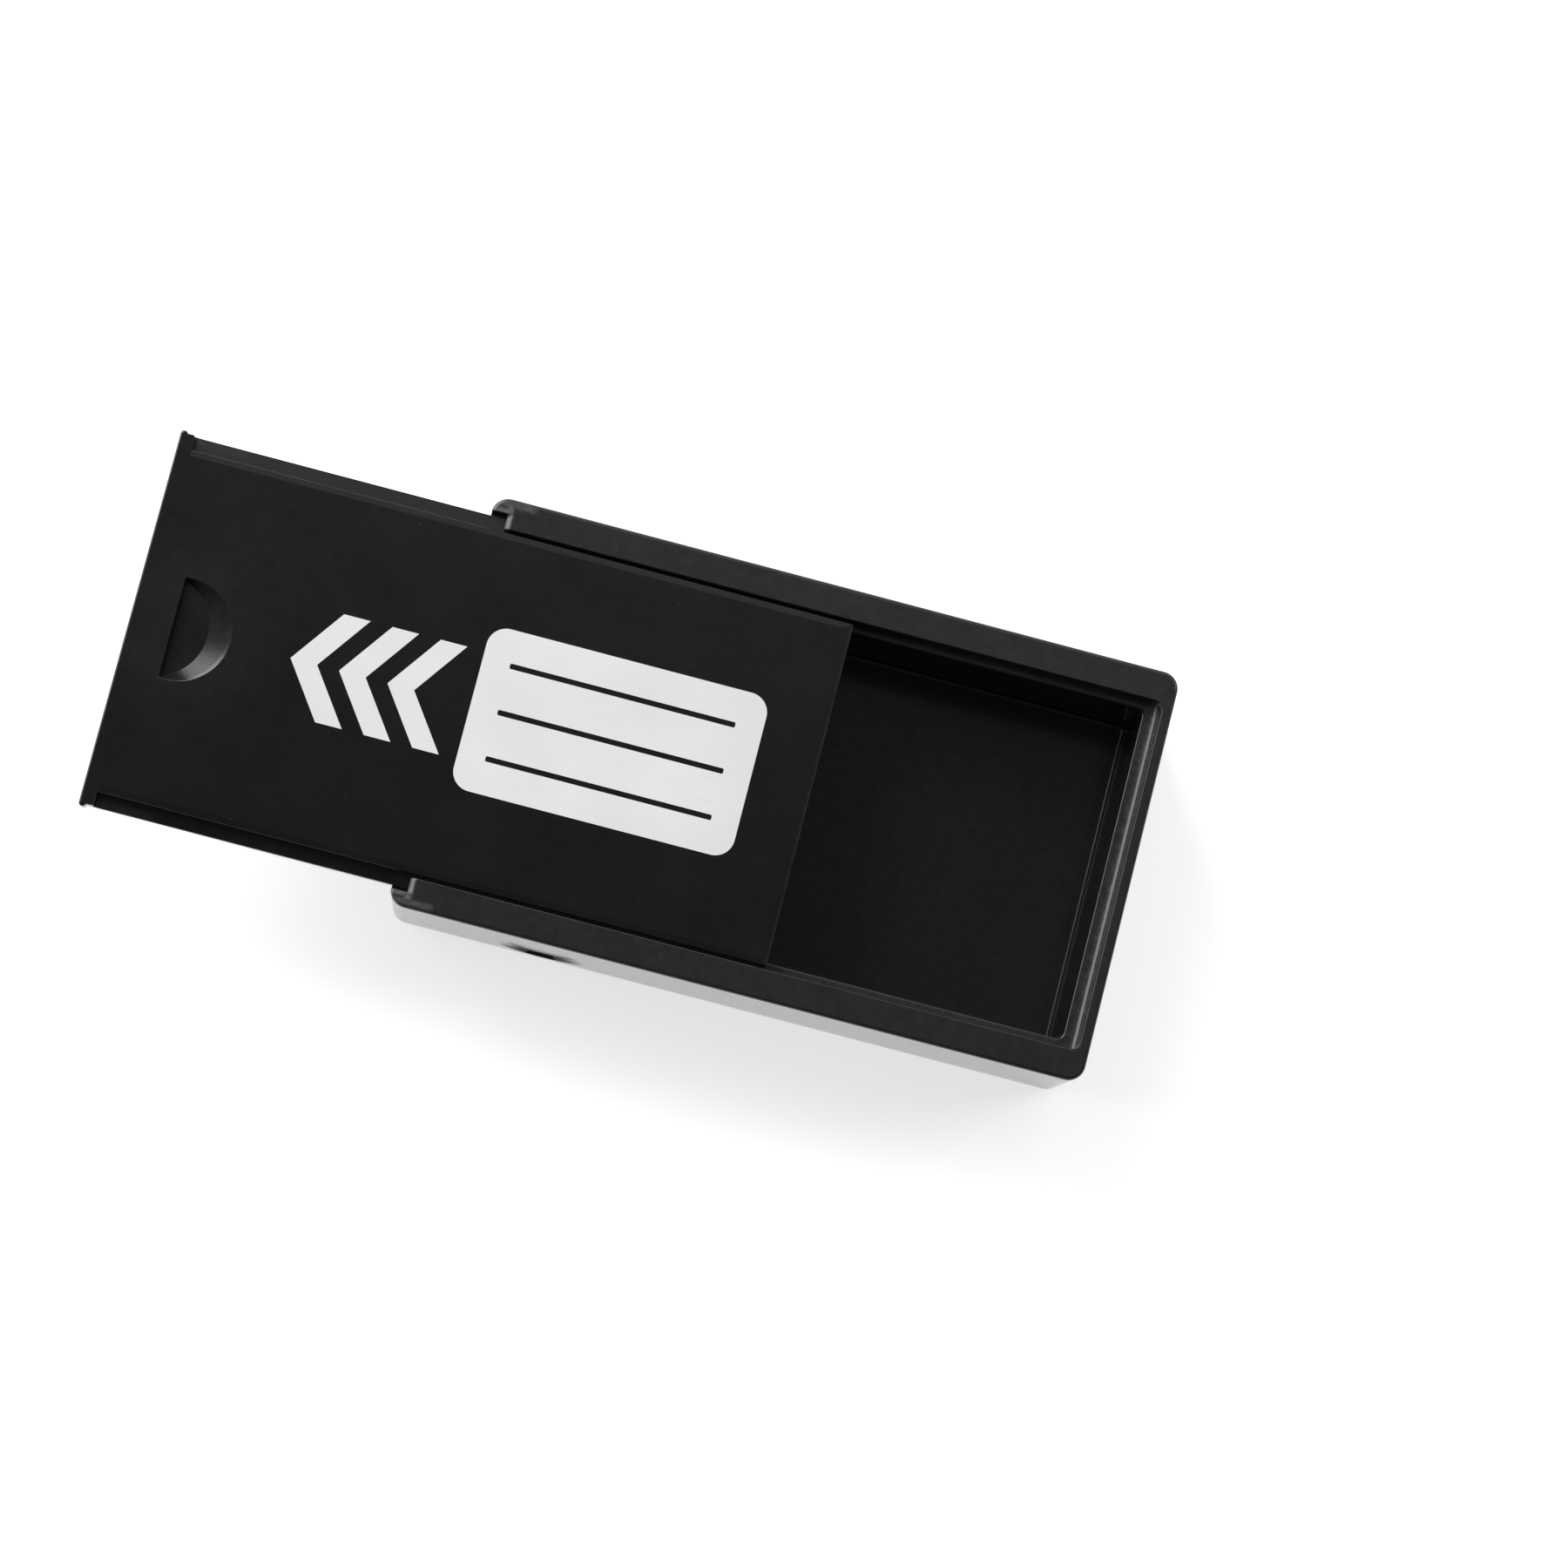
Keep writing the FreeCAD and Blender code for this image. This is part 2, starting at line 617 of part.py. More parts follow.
def make_sliding_lid():
    body = new_body(
        "sliding_lid", x="-Sizes.box_length / 2 - Sizes.lid_out",
        z="Sizes.magnet_proud + Sizes.box_height - Sizes.lip_thickness"
          " - Sizes.groove_height + Sizes.lid_clearance")
    plate = lid_section(body)
    half_panel = SIZES["panel_width"] / 2
    top = SIZES["panel_height"]
    panel = fillet(
        body, "panel_edges", plate,
        lambda middle, edge: near(abs(middle.y), half_panel) and middle.z > SIZES["tongue_thickness"]
        and is_level(edge, top - SIZES["border_drop"]),
        "Sizes.panel_round")
    fillet(
        body, "tongue_corners", panel,
        lambda middle, edge: near(middle.x, SIZES["lid_length"])
        and near(abs(middle.y), SIZES["lid_width"] / 2),
        "Sizes.tongue_corner")
    inner_end(body)
    end_bar(body)
    relief = lid_outline(
        body, "relief_outline", "0", "Sizes.relief_from_end",
        "Sizes.lid_length - Sizes.relief_margin",
        "Sizes.lid_width - 2 * Sizes.relief_margin", "Sizes.slot_corner")
    pocket(body, "relief", relief, "Sizes.relief_depth", upward=True)
    scoop = lid_scoop(body)
    scoop_start = SIZES["scoop_from_end"] - PICK
    scoop_end = SIZES["relief_from_end"]
    rim = fillet(
        body, "scoop_edge", scoop,
        lambda middle, edge: is_level(edge, top) and scoop_start < middle.x < scoop_end
        and abs(middle.y) < SIZES["scoop_radius"],
        "Sizes.scoop_round")
    fillet(
        body, "end_edge", rim,
        lambda middle, edge: is_level(edge, top) and middle.x < PICK,
        "Sizes.edge_round")
    return body


def make_magnet():
    """Flat ferrite block with broken edges."""
    body = new_body("magnet")
    outline = rounded_rectangle_on(
        body, "block_outline", ("0", "0", "0"), "Sizes.magnet_length", "Sizes.magnet_width",
        "Sizes.edge_round")
    block = pad(body, "block", outline, "Sizes.magnet_thickness")
    fillet(body, "block_edges", block,
           lambda middle, edge: is_level(edge, 0), "Sizes.edge_round")
    return body


def make_adhesive():
    """Thin bond between the magnet and the roof of its pocket."""
    body = new_body("magnet_adhesive", z="Sizes.magnet_thickness")
    outline = rounded_rectangle_on(
        body, "bond_outline", ("0", "0", "0"),
        "Sizes.magnet_length - 2 * Sizes.adhesive_margin",
        "Sizes.magnet_width - 2 * Sizes.adhesive_margin", "Sizes.edge_round")
    pad(body, "bond", outline, "Sizes.adhesive_thickness")
    return body


def make_lid_print():
    """Plain white ink on the lid: a blank label with ruled lines, and arrows that point the way
    the lid opens."""
    body = new_body(
        "lid_print", x="-Sizes.box_length / 2 - Sizes.lid_out",
        z="Sizes.magnet_proud + Sizes.box_height - Sizes.lip_thickness"
          " - Sizes.groove_height + Sizes.lid_clearance + Sizes.panel_height")
    label = rounded_rectangle_on(
        body, "label_outline", ("Sizes.label_from_end", "0", "0"),
        "Sizes.label_length", "Sizes.label_width", "Sizes.label_corner")
    pad(body, "label", label, "Sizes.ink_thickness")
    lines = rounded_rectangle_on(
        body, "line_outline",
        ("Sizes.label_from_end", f"-{(LINES_ON_LABEL - 1) / 2} * Sizes.line_pitch", "0"),
        "Sizes.line_length", "Sizes.line_width", "Sizes.line_corner")
    ruled = pocket(body, "ruled_line", lines, "Sizes.ink_thickness", upward=True)
    repeat(body, "ruled_lines", ruled, "Y_Axis", LINES_ON_LABEL,
           f"{LINES_ON_LABEL - 1} * Sizes.line_pitch")
    arrow = new_sketch(body, "arrow_outline", shift=("Sizes.arrow_from_end", "0", "0"))
    reach = "Sizes.arrow_reach"
    band = "Sizes.arrow_band"
    half = "Sizes.arrow_half_width"
    polygon(arrow, [
        ("0", "0"),
        (reach, f"-{half}"),
        (f"{reach} + {band}", f"-{half}"),
        (band, "0"),
        (f"{reach} + {band}", half),
        (reach, half),
    ])
    single = pad(body, "arrow", arrow, "Sizes.ink_thickness")
    repeat(body, "arrows", single, "X_Axis", ARROWS, f"{ARROWS - 1} * Sizes.arrow_pitch")
    return body


def check(bodies):
    """Stops if anything in the document failed, or if a piece has no sound shape."""
    doc.recompute()
    for item in doc.Objects:
        if any(word in item.State for word in ("Invalid", "Error")):
            raise RuntimeError(f"{item.Name} failed: {item.State}")
    for body in bodies:
        shape = body.Shape
        if shape.isNull() or not shape.isValid() or shape.Volume < LEAST_VOLUME:
            raise RuntimeError(f"{body.Label} has no sound shape")
        box = shape.BoundBox
        print(f"{body.Label}: {len(shape.Solids)} solids, {shape.Volume:.2f} mm3,"
              f" x {box.XMin:.2f} to {box.XMax:.2f}, y {box.YMin:.2f} to {box.YMax:.2f},"
              f" z {box.ZMin:.2f} to {box.ZMax:.2f}")


make_sheet()
pieces = [make_box_shell(), make_sliding_lid(), make_magnet(), make_adhesive(), make_lid_print()]
check(pieces)
os.makedirs("parts", exist_ok=True)
for piece in pieces:
    piece.Shape.exportStep(f"parts/{piece.Label}.step")
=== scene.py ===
"""Looks of the magnetic key holder box: moulded plastic, printed ink and ferrite, on a pale floor.

Lengths are in metres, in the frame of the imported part: X runs from the mouth to the closed end,
Y runs across the box and Z points up through the lid.
"""
import math

import bpy
from mathutils import Matrix, Vector


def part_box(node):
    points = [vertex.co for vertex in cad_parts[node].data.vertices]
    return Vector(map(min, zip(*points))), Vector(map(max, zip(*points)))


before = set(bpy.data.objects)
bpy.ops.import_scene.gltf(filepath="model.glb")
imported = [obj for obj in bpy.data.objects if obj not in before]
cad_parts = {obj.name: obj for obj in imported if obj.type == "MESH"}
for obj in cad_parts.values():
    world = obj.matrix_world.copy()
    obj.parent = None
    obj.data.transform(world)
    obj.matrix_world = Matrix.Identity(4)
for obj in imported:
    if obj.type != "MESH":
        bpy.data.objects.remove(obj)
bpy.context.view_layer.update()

MM = 0.001

# Light: what the surround gives, what the floor adds for the camera and for reflections, and the
# soft boxes, each with its place, width and height in metres and its power in watts.
SURROUND = 0.08
FLOOR_GLOW = 0.66
FLOOR_MIRRORED = 0.74
SOFT_BOXES = {
    "key": ((-0.95, 0.95, 1.0), 0.9, 0.9, 21.0),
    "left": ((-1.4, 0.2, 0.48), 1.2, 0.9, 15.0),
    "top": ((0.0, 1.0, 1.8), 1.8, 1.2, 3.8),
    "back": ((0.2, 1.5, 0.7), 1.4, 0.8, 3.5),
    "right": ((1.1, 0.7, 0.9), 0.7, 0.7, 5.0),
}

# The floor glows by FLOOR_GLOW for the camera up to SHADOW_REACH from the part, which keeps its
# shadow, and fully from WHITE_FROM on. FLOOR_REACH is half the floor's width. All are in metres.
SHADOW_REACH = 0.3
WHITE_FROM = 1.2
FLOOR_REACH = 3.0

# Camera, from the edges of the box in the photograph, which is 1800 pixels square.
IMAGE_SIDE = 1800
FOCAL_PIXELS = 5600
SENSOR = 36.0
CAMERA_PLACE = Vector((-26.0, -81.8, 623.9)) * MM
CAMERA_TARGET = Vector((-0.6, 0.4, 22.6)) * MM
CAMERA_TURN = math.radians(14.28)

# Places on the part that the materials need, from its boxes and a few of its sizes.
shell_low, shell_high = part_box("box_shell")
lid_low, lid_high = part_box("sliding_lid")
RAIL_TOP = shell_high[2]
MOUTH = shell_low[0]
CLOSED_END = shell_high[0]
SIDE = shell_high[1]
LID_END = lid_low[0]
LID_SIDE = lid_high[1]
PANEL_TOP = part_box("lid_print")[0][2]    # the print lies on the lid's raised panel
LEDGE = RAIL_TOP - 2.6 * MM      # level of the ledges that the lid slides on
FLOOR = RAIL_TOP - 17.4 * MM     # floor of the cavity
CAVITY_SIDE = SIDE - 5.0 * MM    # long walls of the cavity
GROOVE_SIDE = SIDE - 2.0 * MM    # outer walls of the grooves
LIP_END = MOUTH + 2.1 * MM       # where the lips over the grooves start
STOP = (CLOSED_END - 3.3 * MM, CLOSED_END - 1.4 * MM)    # ledge that the lid knocks against

# Measures of the zones in which a finish changes.
PAST = 1.0 * MM                  # how far a zone reaches past the surface that it ends on
SKIN = 0.1 * MM                  # half the thickness of a zone that follows a level face

# How strongly each trait of the moulded plastic shows. The pale ones are shares of the colour that
# wear and painted glints take, and the dull ones add to the roughness.
HANDLED_PALE = 0.080
HANDLED_DULL = 0.08
# This one also scales the painted glints and highlights, beside wear from rubbing.
WEAR_AND_GLINT_PALE = 0.60
DUST_PALE = 0.35
SCRATCHES_PALE = 0.02
MARKS_DULL = 0.40
MATT_DULL = 0.04
SHINE = 0.5                      # specular level as moulded
MATT_SHINE = 0.26                # specular level where it is moulded matt
PLASTIC_INDEX = 1.5              # index of refraction

DIRT = (0.16, 0.16, 0.16, 1)     # what shows through the ink's pinholes and scratches
CHIP = (0.16, 0.16, 0.16, 1)     # fresh ferrite where an edge has chipped


def build_nodes(material):
    """Clears a material's nodes and returns its tree and its surface shader."""
    material.use_nodes = True
    tree = material.node_tree
    tree.nodes.clear()
    output = tree.nodes.new("ShaderNodeOutputMaterial")
    shader = tree.nodes.new("ShaderNodeBsdfPrincipled")
    tree.links.new(shader.outputs["BSDF"], output.inputs["Surface"])
    return tree, shader


def put(tree, socket, value):
    """Feeds a socket from another socket or sets it to a plain value."""
    if isinstance(value, bpy.types.NodeSocket):
        tree.links.new(value, socket)
    else:
        socket.default_value = value


def calc(tree, operation, first, second=0.0, clamp=False):
    node = tree.nodes.new("ShaderNodeMath")
    node.operation = operation
    node.use_clamp = clamp
    put(tree, node.inputs[0], first)
    put(tree, node.inputs[1], second)
    return node.outputs[0]


def scaled(tree, value, factor):
    return calc(tree, "MULTIPLY", value, factor)


def spread(tree, value, low, high, start=0.0, end=1.0):
    """Maps value from the range low..high to start..end, and holds it there outside."""
    node = tree.nodes.new("ShaderNodeMapRange")
    node.inputs["From Min"].default_value = low
    node.inputs["From Max"].default_value = high
    put(tree, node.inputs["Value"], value)
    put(tree, node.inputs["To Min"], start)
    put(tree, node.inputs["To Max"], end)
    return node.outputs["Result"]


def mix_colour(tree, share, first, second):
    node = tree.nodes.new("ShaderNodeMix")
    node.data_type = "RGBA"
    put(tree, node.inputs["Factor"], share)
    put(tree, node.inputs["A"], first)
    put(tree, node.inputs["B"], second)
    return node.outputs["Result"]


def place(tree, stretch=(1.0, 1.0, 1.0)):
    """Coordinates on the piece, in metres, times a stretch for each axis."""
    coordinates = tree.nodes.new("ShaderNodeTexCoord")
    mapping = tree.nodes.new("ShaderNodeMapping")
    mapping.inputs["Scale"].default_value = stretch
    tree.links.new(coordinates.outputs["Object"], mapping.inputs["Vector"])
    return mapping.outputs["Vector"]


def noise(tree, size, stretch=(1.0, 1.0, 1.0), detail=2.0, roughness=0.5):
    """Soft noise whose lumps are about size across."""
    node = tree.nodes.new("ShaderNodeTexNoise")
    node.inputs["Scale"].default_value = 1.0 / size
    node.inputs["Detail"].default_value = detail
    node.inputs["Roughness"].default_value = roughness
    tree.links.new(place(tree, stretch), node.inputs["Vector"])
    return node.outputs["Fac"]


def specks(tree, pitch, reach):
    """Small round spots, one at most to each cell of the given pitch: 1 inside and 0 outside."""
    node = tree.nodes.new("ShaderNodeTexVoronoi")
    node.inputs["Scale"].default_value = 1.0 / pitch
    tree.links.new(place(tree), node.inputs["Vector"])
    chosen = tree.nodes.new("ShaderNodeSeparateColor")
    tree.links.new(node.outputs["Color"], chosen.inputs["Color"])
    radius = scaled(tree, chosen.outputs["Red"], reach)
    return calc(tree, "LESS_THAN", node.outputs["Distance"], radius)


def edge_mask(tree, radius):
    """1 along the piece's sharp and small round edges and 0 on its flats."""
    bevel = tree.nodes.new("ShaderNodeBevel")
    bevel.samples = 6
    bevel.inputs["Radius"].default_value = radius
    geometry = tree.nodes.new("ShaderNodeNewGeometry")
    product = tree.nodes.new("ShaderNodeVectorMath")
    product.operation = "DOT_PRODUCT"
    tree.links.new(bevel.outputs["Normal"], product.inputs[0])
    tree.links.new(geometry.outputs["Normal"], product.inputs[1])
    return spread(tree, product.outputs["Value"], 0.995, 0.90)


def bump(tree, shader, layers):
    """Stacks bump layers, each a height, a strength and a depth in metres."""
    normal = None
    for height, strength, depth in layers:
        node = tree.nodes.new("ShaderNodeBump")
        node.inputs["Strength"].default_value = strength
        node.inputs["Distance"].default_value = depth
        put(tree, node.inputs["Height"], height)
        if normal is not None:
            tree.links.new(normal, node.inputs["Normal"])
        normal = node.outputs["Normal"]
    tree.links.new(normal, shader.inputs["Normal"])


def zone(tree, x=None, y=None, z=None, soft=0.3 * MM):
    """1 within the given ranges of the piece's own coordinates, 0 outside. y counts from the middle."""
    axes = tree.nodes.new("ShaderNodeSeparateXYZ")
    tree.links.new(place(tree), axes.inputs["Vector"])
    from_middle = calc(tree, "ABSOLUTE", axes.outputs["Y"])
    share = None
    for limits, value in ((x, axes.outputs["X"]), (y, from_middle), (z, axes.outputs["Z"])):
        if limits is None:
            continue
        low, high = limits
        inside = calc(tree, "MULTIPLY", spread(tree, value, low - soft, low + soft),
                      spread(tree, value, high + soft, high - soft))
        share = inside if share is None else calc(tree, "MULTIPLY", share, inside)
    return share


def several(tree, operation, first, *others):
    """Folds a row of values together, such as the largest or the product of them all."""
    result = first
    for value in others:
        result = calc(tree, operation, result, value)
    return result


def scratches(tree, length, width, few):
    """Sparse fine scratches along X that come and go in patches. Higher few means fewer."""
    fine = noise(tree, width, stretch=(width / length, 1.0, 1.0), detail=1.0)
    lines = spread(tree, fine, few, few + 0.20)
    patches = spread(tree, noise(tree, 7 * MM, detail=2.0), 0.45, 0.75)
    return calc(tree, "MULTIPLY", lines, patches)


def moulded_plastic(name, dark, light, wear_and_glint_colour, roughness, edge_wear, handled, wear_and_glints, matt=None):
    """Black moulded plastic: faint mottling, fine grain, edge wear, dust and sparse scratches.

    dark and light are the ends of its mottling, and the third colour is that of every pale mark and of
    the painted glints. The last three arguments are functions that make masks in the tree: places that
    hands touch, which are a little paler and duller, places that rubbing makes pale or that carry
    painted glints and highlights, and places that are moulded matt.
    """
    material = bpy.data.materials.new(name)
    tree, shader = build_nodes(material)
    mottle = noise(tree, 8 * MM, detail=3.0)
    cloud = noise(tree, 1.1 * MM, detail=3.0)
    grain = noise(tree, 0.14 * MM, detail=2.0)
    peel = noise(tree, 1.3 * MM, detail=2.0)
    edge = edge_mask(tree, 0.25 * MM)
    patches = spread(tree, noise(tree, 1.9 * MM, detail=4.0), 0.35, 0.66, 0.35, 1.0)
    flecks = spread(tree, noise(tree, 0.55 * MM, detail=3.0), 0.35, 0.65, 0.55, 1.0)
    wear = several(tree, "MULTIPLY", edge, patches, edge_wear)
    dust = scaled(tree, specks(tree, 2.1 * MM, 0.035), DUST_PALE)
    scores = scaled(tree, scratches(tree, 14 * MM, 0.09 * MM, 0.58), SCRATCHES_PALE)
    touched = calc(tree, "MULTIPLY", handled(tree), spread(tree, cloud, 0.30, 0.70, 0.75, 1.0))
    # Wear from rubbing and painted glints and highlights, broken by flecks.
    pale = calc(tree, "MULTIPLY", wear_and_glints(tree), flecks)

    base = mix_colour(tree, spread(tree, mottle, 0.35, 0.65), dark, light)
    base = mix_colour(tree, scaled(tree, touched, HANDLED_PALE), base, wear_and_glint_colour)
    marks = several(tree, "MAXIMUM", wear, dust, scores, scaled(tree, pale, WEAR_AND_GLINT_PALE))
    put(tree, shader.inputs["Base Color"], mix_colour(tree, marks, base, wear_and_glint_colour))
    smooth = spread(tree, cloud, 0.30, 0.70, roughness - 0.015, roughness + 0.02)
    duller = calc(tree, "ADD", smooth, scaled(tree, touched, HANDLED_DULL))
    rough = calc(tree, "ADD", duller, scaled(tree, marks, MARKS_DULL), clamp=True)
    if matt is not None:
        inside = matt(tree)
        rough = calc(tree, "ADD", rough, scaled(tree, inside, MATT_DULL), clamp=True)
        put(tree, shader.inputs["Specular IOR Level"],
            spread(tree, inside, 0, 1, SHINE, MATT_SHINE))
    put(tree, shader.inputs["Roughness"], rough)
    shader.inputs["IOR"].default_value = PLASTIC_INDEX
    bump(tree, shader, [
        (peel, 0.20, 0.010 * MM),
        (grain, 0.30, 0.003 * MM),
        (pale, 0.20, 0.015 * MM),
    ])
    return material


def box_handled(tree):
    """Tops of the rails and, less so, the ledges that the lid rubs and the floor that keys rub."""
    rails = zone(tree, z=(RAIL_TOP - 0.35 * MM, RAIL_TOP + PAST))
    ledges = zone(tree, y=(CAVITY_SIDE - SKIN, GROOVE_SIDE), z=(LEDGE - 2 * SKIN, LEDGE + SKIN),
                  soft=0.1 * MM)
    floor = zone(tree, z=(FLOOR - 2 * SKIN, FLOOR + 2 * SKIN), soft=0.1 * MM)
    lower = calc(tree, "MAXIMUM", ledges, floor)
    return calc(tree, "MAXIMUM", rails, scaled(tree, lower, 0.48))


def box_wear_and_glints(tree):
    """Ledges that the lid slides on and knocks against, and painted glints at the mouth's rail ends."""
    top = (RAIL_TOP - 0.4 * MM, RAIL_TOP + PAST)
    stop = zone(tree, x=STOP, z=(LEDGE - SKIN, LEDGE + 1.2 * MM), soft=0.15 * MM)
    ledges = zone(tree, y=(CAVITY_SIDE + SKIN, GROOVE_SIDE), z=(LEDGE - SKIN, LEDGE + SKIN),
                  soft=0.1 * MM)
    # Painted glint along the outer edges of the rails near the mouth.
    outer_edge_glint = zone(tree, x=(MOUTH - PAST, MOUTH + 5.5 * MM), y=(SIDE - MM, SIDE - 0.5 * MM),
                       z=top, soft=0.4 * MM)
    # Painted glint on the ends of the lips.
    lip_end_glint = zone(tree, x=(LIP_END - 0.2 * MM, LIP_END + 0.6 * MM), y=(0, SIDE - MM),
                    z=(RAIL_TOP - 1.2 * MM, RAIL_TOP + PAST), soft=0.2 * MM)
    # Painted glint along the inner edges of the walls at the mouth.
    wall_end_glint = zone(tree, x=(MOUTH - PAST, LIP_END), y=(SIDE - 2.1 * MM, SIDE - 1.4 * MM),
                     z=top, soft=0.2 * MM)
    return several(tree, "MAXIMUM", scaled(tree, stop, 0.28), scaled(tree, ledges, 0.15),
                   scaled(tree, outer_edge_glint, 0.80), lip_end_glint, wall_end_glint)


def lid_handled(tree):
    """Free end of the lid, round the thumb scoop."""
    around = zone(tree, x=(LID_END - PAST, LID_END + 15 * MM), y=(-PAST, 9 * MM), soft=5 * MM)
    return scaled(tree, around, 0.25)


def lid_matt(tree):
    """Inside of the thumb scoop."""
    return zone(tree, x=(LID_END + MM, LID_END + 14 * MM), y=(-PAST, 9 * MM),
                z=(PANEL_TOP - 1.3 * MM, PANEL_TOP - 0.12 * MM), soft=0.08 * MM)


def lid_wear_and_glints(tree):
    """Painted glint behind the end bar; wear and painted highlights on the tongues and scoop rim."""
    # Painted glint on each tongue just behind the end bar.
    near_bar_glint = zone(tree, x=(LID_END + 2.2 * MM, LID_END + 3.6 * MM),
                    y=(LID_SIDE - 1.0 * MM, LID_SIDE - 0.7 * MM), soft=0.8 * MM)
    # Partly rubbing wear and partly a painted sheen, fading along each tongue.
    along = zone(tree, x=(LID_END + 2.0 * MM, LID_END + 9 * MM),
                 y=(LID_SIDE - 1.1 * MM, LID_SIDE - 0.7 * MM), soft=0.6 * MM)
    by_scoop = zone(tree, x=(LID_END + 2 * MM, LID_END + 13 * MM), y=(-PAST, 8 * MM),
                    z=(PANEL_TOP - 0.3 * MM, PANEL_TOP + 0.2 * MM), soft=0.1 * MM)
    # Partly edge wear and partly a painted highlight line round the thumb scoop's rim.
    rim = calc(tree, "MULTIPLY", edge_mask(tree, 0.18 * MM), by_scoop)
    return several(tree, "MAXIMUM", scaled(tree, near_bar_glint, 0.45), scaled(tree, along, 0.14),
                   scaled(tree, rim, 0.45))


def printed_ink(name):
    """White pad-printed ink: a slight grey drift, pinholes and rubbing marks."""
    material = bpy.data.materials.new(name)
    tree, shader = build_nodes(material)
    drift = noise(tree, 16 * MM, detail=2.0)
    scores = scratches(tree, 7 * MM, 0.09 * MM, 0.62)
    holes = specks(tree, 1.5 * MM, 0.04)
    white = mix_colour(tree, spread(tree, drift, 0.35, 0.65), (0.83, 0.83, 0.84, 1),
                       (0.88, 0.88, 0.87, 1))
    marks = calc(tree, "MAXIMUM", scaled(tree, scores, 0.20), scaled(tree, holes, 0.50))
    put(tree, shader.inputs["Base Color"], mix_colour(tree, marks, white, DIRT))
    put(tree, shader.inputs["Roughness"], spread(tree, drift, 0.3, 0.7, 0.42, 0.52))
    bump(tree, shader, [(noise(tree, 0.30 * MM, detail=3.0), 0.3, 0.006 * MM)])
    return material


def ground_ferrite(name):
    """Dark grey ferrite: pressed grain, grinding lines across it and small pale chips."""
    material = bpy.data.materials.new(name)
    tree, shader = build_nodes(material)
    grain = noise(tree, 0.5 * MM, detail=5.0, roughness=0.7)
    lines = noise(tree, 0.22 * MM, stretch=(1.0, 0.03, 1.0), detail=3.0)
    chips = calc(tree, "MULTIPLY", edge_mask(tree, 0.4 * MM),
                 spread(tree, noise(tree, 1.1 * MM, detail=4.0), 0.5, 0.62))
    grey = mix_colour(tree, spread(tree, grain, 0.35, 0.65), (0.030, 0.030, 0.032, 1),
                      (0.062, 0.062, 0.064, 1))
    put(tree, shader.inputs["Base Color"], mix_colour(tree, chips, grey, CHIP))
    put(tree, shader.inputs["Roughness"], spread(tree, lines, 0.3, 0.7, 0.42, 0.62))
    shader.inputs["Metallic"].default_value = 0.25
    bump(tree, shader, [
        (lines, 0.20, 0.004 * MM),
        (grain, 0.40, 0.012 * MM),
    ])
    return material


def set_adhesive(name):
    """Dull yellowish bond with bubbles."""
    material = bpy.data.materials.new(name)
    tree, shader = build_nodes(material)
    cloud = noise(tree, 2.0 * MM, detail=3.0)
    put(tree, shader.inputs["Base Color"], mix_colour(
        tree, cloud, (0.42, 0.36, 0.24, 1), (0.62, 0.56, 0.42, 1)))
    put(tree, shader.inputs["Roughness"], spread(tree, cloud, 0.3, 0.7, 0.45, 0.65))
    bump(tree, shader, [(specks(tree, 0.9 * MM, 0.3), 0.5, 0.03 * MM)])
    return material


def dress(node, material):
    """Gives every material slot of a node of the part the same finish."""
    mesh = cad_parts[node].data
    for index in range(len(mesh.materials)):
        mesh.materials[index] = material
    if not mesh.materials:
        mesh.materials.append(material)


def floor_material():
    """Pale floor that keeps its shadow and shows white to the camera, farther off most of all."""
    material = bpy.data.materials.new("pale_floor")
    tree, shader = build_nodes(material)
    tone = noise(tree, 60 * MM, detail=2.0)
    put(tree, shader.inputs["Base Color"], mix_colour(
        tree, tone, (0.86, 0.86, 0.86, 1), (0.89, 0.89, 0.89, 1)))
    shader.inputs["Roughness"].default_value = 0.9
    shader.inputs["Specular IOR Level"].default_value = 0.0
    rays = tree.nodes.new("ShaderNodeLightPath")
    distance = tree.nodes.new("ShaderNodeVectorMath")
    distance.operation = "LENGTH"
    tree.links.new(place(tree), distance.inputs[0])
    glow = spread(tree, distance.outputs["Value"], SHADOW_REACH, WHITE_FROM, FLOOR_GLOW, 1.0)
    seen = scaled(tree, rays.outputs["Is Camera Ray"], glow)
    mirrored = scaled(tree, rays.outputs["Is Glossy Ray"], FLOOR_MIRRORED)
    shader.inputs["Emission Color"].default_value = (1, 1, 1, 1)
    put(tree, shader.inputs["Emission Strength"], calc(tree, "ADD", seen, mirrored))
    return material


def make_floor():
    mesh = bpy.data.meshes.new("floor")
    turns = [(-1, -1), (1, -1), (1, 1), (-1, 1)]
    corners = [(x * FLOOR_REACH, y * FLOOR_REACH, 0) for x, y in turns]
    mesh.from_pydata(corners, [], [(0, 1, 2, 3)])
    floor = bpy.data.objects.new("floor", mesh)
    mesh.materials.append(floor_material())
    bpy.context.scene.collection.objects.link(floor)


def make_world():
    """Even studio surround, white to the camera."""
    world = bpy.data.worlds.new("studio")
    bpy.context.scene.world = world
    world.use_nodes = True
    tree = world.node_tree
    tree.nodes.clear()
    output = tree.nodes.new("ShaderNodeOutputWorld")
    light = tree.nodes.new("ShaderNodeBackground")
    light.inputs["Color"].default_value = (1, 1, 1, 1)
    rays = tree.nodes.new("ShaderNodeLightPath")
    strength = spread(tree, rays.outputs["Is Camera Ray"], 0, 1, SURROUND, 1.0)
    tree.links.new(strength, light.inputs["Strength"])
    tree.links.new(light.outputs["Background"], output.inputs["Surface"])


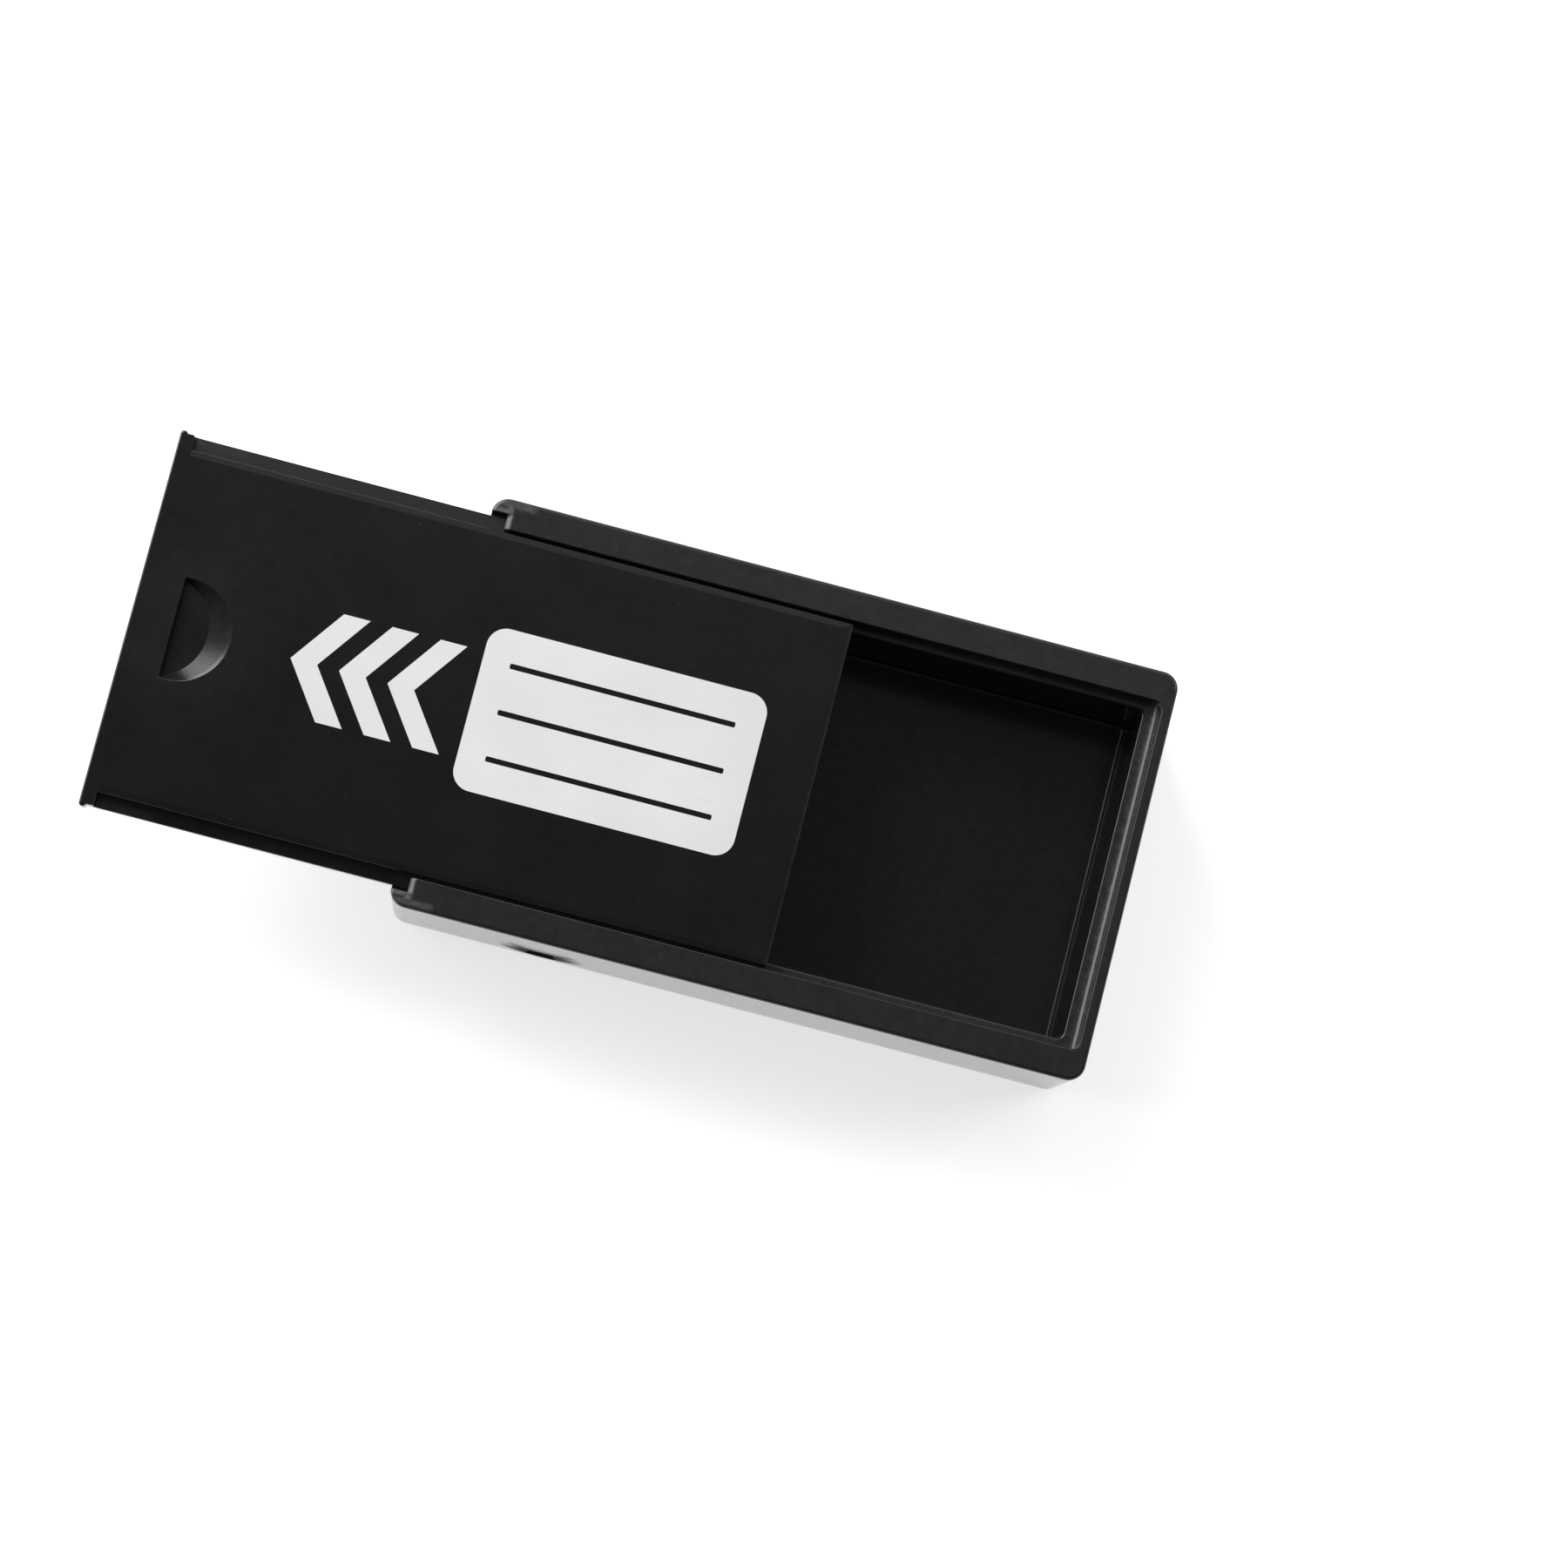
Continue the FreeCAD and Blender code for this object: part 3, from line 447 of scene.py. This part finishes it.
def make_light(name, stand, width, height, power):
    """Soft box that faces the middle of the part."""
    lamp = bpy.data.lights.new(name, "AREA")
    lamp.shape = "RECTANGLE"
    lamp.size = width
    lamp.size_y = height
    lamp.energy = power
    light = bpy.data.objects.new(name, lamp)
    light.location = stand
    light.rotation_mode = "QUATERNION"
    light.rotation_quaternion = (-Vector(stand)).to_track_quat("-Z", "Y")
    bpy.context.scene.collection.objects.link(light)


def make_camera():
    """Camera at the photograph's angle: it looks nearly straight down, turned within its plane."""
    data = bpy.data.cameras.new("camera")
    data.sensor_width = SENSOR
    data.lens = SENSOR * FOCAL_PIXELS / IMAGE_SIDE
    data.clip_start = 0.01
    data.clip_end = 20
    camera = bpy.data.objects.new("camera", data)
    forward = (CAMERA_TARGET - CAMERA_PLACE).normalized()
    upward = Vector((-math.sin(CAMERA_TURN), math.cos(CAMERA_TURN), 0))
    right = forward.cross(upward).normalized()
    up = right.cross(forward)
    axes = Matrix((right, up, -forward)).transposed().to_4x4()
    camera.matrix_world = Matrix.Translation(CAMERA_PLACE) @ axes
    bpy.context.scene.collection.objects.link(camera)
    bpy.context.scene.camera = camera


make_camera()
make_floor()
make_world()
for soft_box, settings in SOFT_BOXES.items():
    make_light(soft_box, *settings)

# Each piece's pale colour for wear also colours its painted glints and highlights.
dress("box_shell", moulded_plastic(
    "box_plastic", dark=(0.0042, 0.0045, 0.0038, 1), light=(0.0062, 0.0066, 0.0056, 1),
    wear_and_glint_colour=(0.20, 0.204, 0.20, 1), roughness=0.15, edge_wear=0.16,
    handled=box_handled, wear_and_glints=box_wear_and_glints))
dress("sliding_lid", moulded_plastic(
    "lid_plastic", dark=(0.0044, 0.0056, 0.0056, 1), light=(0.0066, 0.0080, 0.0080, 1),
    wear_and_glint_colour=(0.18, 0.19, 0.19, 1), roughness=0.22, edge_wear=0.06,
    handled=lid_handled, wear_and_glints=lid_wear_and_glints, matt=lid_matt))
dress("lid_print", printed_ink("white_ink"))
dress("magnet", ground_ferrite("ferrite"))
dress("magnet_adhesive", set_adhesive("adhesive"))

view = bpy.context.scene.view_settings
view.view_transform = "Standard"
